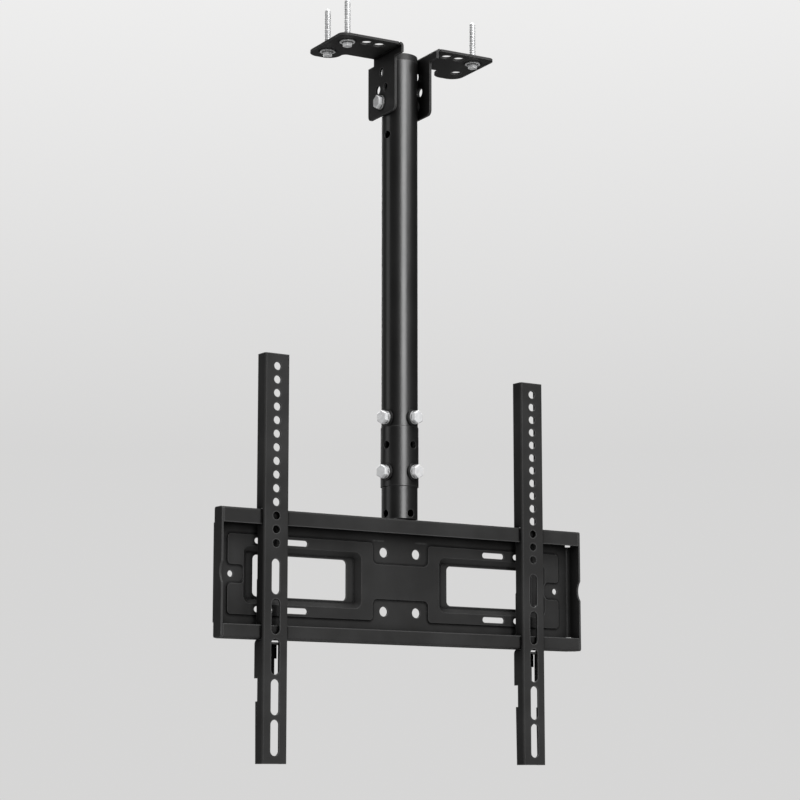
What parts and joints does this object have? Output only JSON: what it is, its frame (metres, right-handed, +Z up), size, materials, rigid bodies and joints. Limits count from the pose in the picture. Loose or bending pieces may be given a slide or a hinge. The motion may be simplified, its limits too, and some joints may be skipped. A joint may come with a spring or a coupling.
{
  "type": "tv ceiling mount",
  "caption": "Ceiling mount for a flat television: folded feet, a telescopic pole, a swivel and tilt head and a pressed plate with two hook-on rails.",
  "frame": {"origin": "on the ceiling plane, on the axis of the pole", "axes": "+Z up, +X along the plate to the right as seen from the screen's side, -Y the way the screen faces"},
  "size_m": [0.463, 0.0969, 0.8292],
  "materials": {
    "black_coat": "matte black powder coat",
    "bright_zinc": "bright zinc plating",
    "black_washer": "black zinc",
    "bare_steel": "bare steel",
    "black_plastic": "smooth black plastic"
  },
  "bodies": {
    "ceiling_feet": {"left_ceiling_bracket": "black_coat", "right_ceiling_bracket": "black_coat", "pivot_bolt": "bright_zinc", "pivot_lock_nut": "bright_zinc", "pivot_washers": "bright_zinc", "pivot_spacers": "black_plastic", "lag_screws": "bright_zinc", "lag_washers": "bright_zinc"},
    "pole": {"upper_tube": "black_coat", "top_cap": "black_plastic", "pivot_bush": "black_plastic", "upper_clamp_screws": "bright_zinc", "upper_clamp_spring_washers": "bright_zinc", "upper_clamp_washers": "black_washer"},
    "extension": {"inner_tube": "black_coat", "coupling_sleeve": "black_coat", "lower_clamp_screws": "bright_zinc", "lower_clamp_spring_washers": "bright_zinc", "lower_clamp_washers": "black_washer", "swivel_plug": "bare_steel", "swivel_pad": "black_plastic", "swivel_washer": "bright_zinc", "swivel_bolt": "bright_zinc", "swivel_nut": "bright_zinc"},
    "head": {"lower_tube": "black_coat", "swivel_disc": "black_coat", "yoke": "black_coat"},
    "plate": {"tv_plate": "black_coat", "left_tilt_ear": "black_coat", "right_tilt_ear": "black_coat", "tilt_bolt": "bright_zinc", "tilt_lock_nut": "bright_zinc", "tilt_washers": "bright_zinc", "tilt_spacers": "black_plastic"},
    "left_upright": {"left_rail": "black_coat", "left_lock_bracket": "black_coat", "left_lock_screw": "black_washer"},
    "right_upright": {"right_rail": "black_coat", "right_lock_bracket": "black_coat", "right_lock_screw": "black_washer"}
  },
  "joints": [
    {"name": "pole_swing", "type": "hinge", "parent": "ceiling_feet", "child": "pole", "pos_m": [0, 0, -0.057], "axis": [0.9976, -0.0698, 0], "range_deg": [-5, 5]},
    {"name": "height_slide", "type": "slide", "parent": "pole", "child": "extension", "axis": [0, 0, 1], "range_m": [-0.15, 0]},
    {"name": "swivel", "type": "hinge", "parent": "extension", "child": "head", "pos_m": [0, 0, -0.5062], "axis": [0, 0, 1], "continuous": true},
    {"name": "tilt", "type": "hinge", "parent": "head", "child": "plate", "pos_m": [0, 0.013, -0.5363], "axis": [1, 0, 0], "range_deg": [0, 15]},
    {"name": "left_rail_slide", "type": "slide", "parent": "plate", "child": "left_upright", "axis": [1, 0, 0], "range_m": [-0.042, 0.119]},
    {"name": "right_rail_slide", "type": "slide", "parent": "plate", "child": "right_upright", "axis": [1, 0, 0], "range_m": [-0.112, 0.049]}
  ]
}
